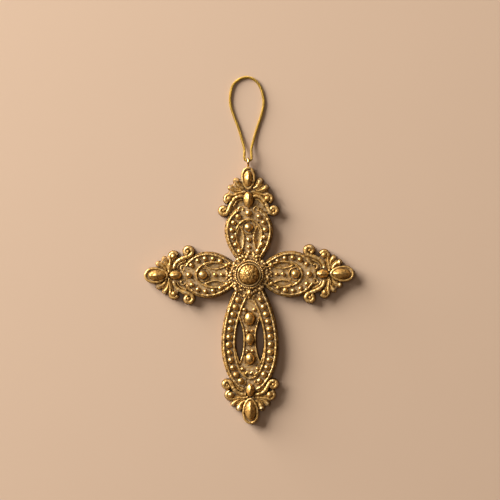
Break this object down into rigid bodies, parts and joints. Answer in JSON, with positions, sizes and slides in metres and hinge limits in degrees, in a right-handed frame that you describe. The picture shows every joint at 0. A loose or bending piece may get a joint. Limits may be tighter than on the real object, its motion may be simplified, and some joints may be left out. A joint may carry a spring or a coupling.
{
  "type": "cross ornament",
  "caption": "Flat cast cross with petal arms, beaded borders, scroll ends and a domed centre, hung by a wire eye and a thin cord loop",
  "frame": {"origin": "on the flat back, under the middle of the cross measured with its eye and without the cord; the centre boss stands 7.6 mm up the cross from it", "axes": "+Y up the cross to the hanging eye, +X across it to the right as seen from the front, +Z out of the face"},
  "size_m": [0.0986, 0.1635, 0.009],
  "materials": {
    "antique_gold_casting": "satin",
    "gold_wire": "gloss",
    "gold_cord": "matte"
  },
  "bodies": {
    "root": {"cross_casting": "antique_gold_casting", "hanging_eye": "gold_wire", "cord_loop": "gold_cord"}
  },
  "joints": []
}
